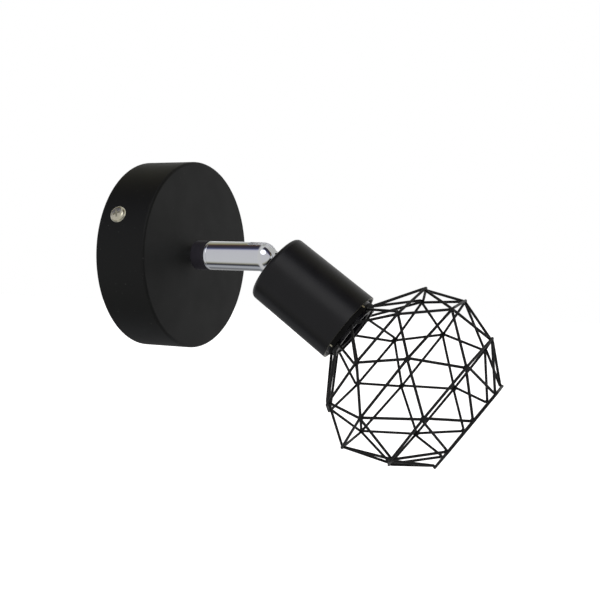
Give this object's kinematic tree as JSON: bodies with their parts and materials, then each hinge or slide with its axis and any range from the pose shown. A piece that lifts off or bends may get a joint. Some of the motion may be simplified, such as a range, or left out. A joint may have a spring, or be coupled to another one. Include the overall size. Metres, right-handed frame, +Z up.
{
  "type": "wall spotlight",
  "caption": "Wall spotlight: round black canopy, chrome swivel arm, black lamp cup on a knuckle, and a faceted open cage of bent black wire round the lamp.",
  "frame": {"origin": "on the wall, at the centre of the canopy's back and of its two wall holes", "axes": "+Y into the wall, so the arm runs along -Y; +Z up; +X to the right seen by someone who faces the wall"},
  "size_m": [0.1119, 0.1939, 0.1567],
  "materials": {
    "canopy_paint": "matte",
    "cup_paint": "satin",
    "cage_paint": "satin",
    "chrome": "polished",
    "zinc_plate": "satin",
    "brass": "satin",
    "black_plastic": "matte",
    "white_plastic": "gloss",
    "nylon": "matte",
    "lead_sheath": "matte"
  },
  "bodies": {
    "mount": {"canopy_cover": "canopy_paint", "wall_bracket": "zinc_plate", "canopy_screws": "zinc_plate", "terminal_block": "white_plastic", "terminal_sleeves": "brass", "terminal_screws": "zinc_plate", "block_screw": "zinc_plate", "earth_screw": "brass", "earth_washer": "zinc_plate", "arm_collar": "black_plastic", "canopy_leads": "lead_sheath"},
    "arm": {"arm_tube": "chrome", "arm_stem": "zinc_plate", "arm_bush": "brass", "arm_nut": "zinc_plate", "arm_lock_washer": "zinc_plate", "arm_friction_washer": "nylon", "pivot_screw": "chrome", "arm_leads": "lead_sheath"},
    "head": {"knuckle_tongue": "chrome", "lamp_cup": "cup_paint", "cup_washer": "zinc_plate", "cup_nut": "zinc_plate", "lampholder_cap": "black_plastic", "lampholder_body": "black_plastic", "lampholder_shell": "brass", "centre_contact": "brass", "lampholder_terminals": "brass", "head_leads": "lead_sheath", "cage_collar": "cage_paint", "ring_nut": "black_plastic", "cage_spokes": "cage_paint", "cage_neck_ring": "cage_paint", "cage_upper_zigzag": "cage_paint", "cage_widest_ring": "cage_paint", "cage_middle_zigzag": "cage_paint", "cage_lower_ring": "cage_paint", "cage_lower_zigzag": "cage_paint", "cage_mouth_ring": "cage_paint"}
  },
  "joints": [
    {"name": "arm_turn", "type": "hinge", "parent": "mount", "child": "arm", "pos_m": [0, -0.04, 0], "axis": [0, -1, 0], "range_deg": [-179, 151]},
    {"name": "head_tilt", "type": "hinge", "parent": "arm", "child": "head", "pos_m": [0, -0.07, 0], "axis": [0.9703, 0, 0.2419], "range_deg": [-129, 51]}
  ]
}
